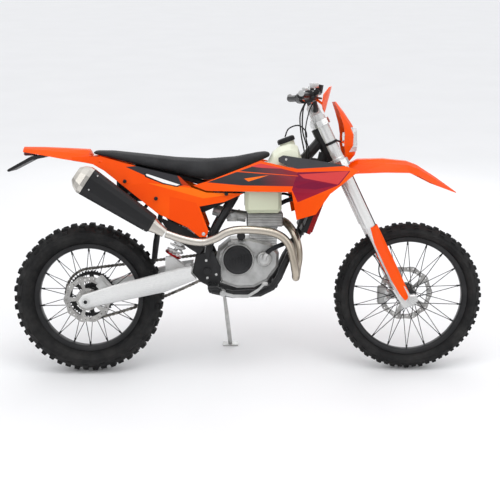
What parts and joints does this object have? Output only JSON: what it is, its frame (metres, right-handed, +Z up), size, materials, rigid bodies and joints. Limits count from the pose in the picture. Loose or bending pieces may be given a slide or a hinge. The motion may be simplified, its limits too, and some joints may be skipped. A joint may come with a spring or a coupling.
{
  "type": "enduro motorcycle",
  "caption": "Off-road motorcycle leaning on its side stand, with steered front wheel, laced wheels, chain drive, high exhaust, hand guards and headlight mask.",
  "frame": {"origin": "centre of the box's base, on the floor between the wheels", "axes": "+X forward along the wheelbase, +Y to the motorcycle's left, +Z up; the motorcycle leans ten degrees to +Y"},
  "size_m": [2.1844, 0.8118, 1.3466],
  "materials": {
    "orange_plastic": "satin moulded plastic",
    "black_plastic": "grained moulded plastic",
    "black_metal": "satin black coating",
    "tyre": "matt rubber",
    "cast_aluminium": "cast and blasted",
    "bright_aluminium": "machined",
    "disc_steel": "brushed",
    "exhaust_steel": "heat-tinted",
    "tank_plastic": "natural translucent",
    "seat_cover": "ribbed grip cover",
    "spring": "gloss white",
    "lens": "clear",
    "lamp_red": "clear red"
  },
  "bodies": {
    "chassis": {"frame": "black_metal", "subframe": "black_metal", "swingarm": "cast_aluminium", "shock_absorber": "bright_aluminium", "shock_spring": "spring", "crankcase": "cast_aluminium", "cylinder": "cast_aluminium", "clutch_cover": "cast_aluminium", "ignition_cover": "cast_aluminium", "exhaust_header": "exhaust_steel", "silencer": "black_metal", "silencer_end_cap": "exhaust_steel", "fuel_tank": "tank_plastic", "fuel_cap": "black_plastic", "seat": "seat_cover", "rear_fender": "orange_plastic", "tail_lamp": "lamp_red", "plate_holder": "black_plastic", "airbox": "black_plastic", "brake_pedal": "cast_aluminium", "gear_lever": "cast_aluminium", "chain": "disc_steel", "rear_caliper": "cast_aluminium", "side_panel_left": "orange_plastic", "side_panel_right": "orange_plastic", "shroud_left": "orange_plastic", "shroud_right": "orange_plastic", "radiator_left": "bright_aluminium", "radiator_right": "bright_aluminium", "rear_axle": "bright_aluminium"},
    "steering": {"front_axle": "bright_aluminium", "lower_clamp": "bright_aluminium", "upper_clamp": "bright_aluminium", "fork_leg_left": "bright_aluminium", "fork_leg_right": "bright_aluminium", "fork_guard_left": "orange_plastic", "fork_guard_right": "orange_plastic", "handlebar": "black_metal", "brake_lever_right": "black_metal", "clutch_lever_left": "black_metal", "handguard_left": "black_plastic", "handguard_right": "black_plastic", "headlight_mask": "orange_plastic", "headlight": "lens", "front_fender": "orange_plastic", "front_caliper": "cast_aluminium"},
    "front_wheel": {"front_tyre": "tyre", "front_wheel": "black_metal", "front_disc": "disc_steel"},
    "rear_wheel": {"rear_tyre": "tyre", "rear_wheel": "black_metal", "rear_disc": "disc_steel", "rear_sprocket": "black_metal"},
    "side_stand": {"side_stand_leg": "cast_aluminium"}
  },
  "joints": [
    {"name": "steering_turn", "type": "hinge", "parent": "chassis", "child": "steering", "pos_m": [0.69678, -0.16337, 0.32124], "axis": [-0.4289, 0.1569, 0.8896], "range_deg": [-40, 40]},
    {"name": "front_wheel_spin", "type": "hinge", "parent": "steering", "child": "front_wheel", "pos_m": [0.74375, -0.1595, 0.34321], "axis": [0, 0.9848, -0.1736], "continuous": true},
    {"name": "rear_wheel_spin", "type": "hinge", "parent": "chassis", "child": "rear_wheel", "pos_m": [-0.74125, -0.15906, 0.34567], "axis": [0, 0.9848, -0.1736], "continuous": true},
    {"name": "side_stand_fold", "type": "hinge", "parent": "chassis", "child": "side_stand", "pos_m": [-0.11675, -0.03504, 0.33497], "axis": [-0.146, 0.9893, 0.0035], "range_deg": [0, 100]}
  ]
}
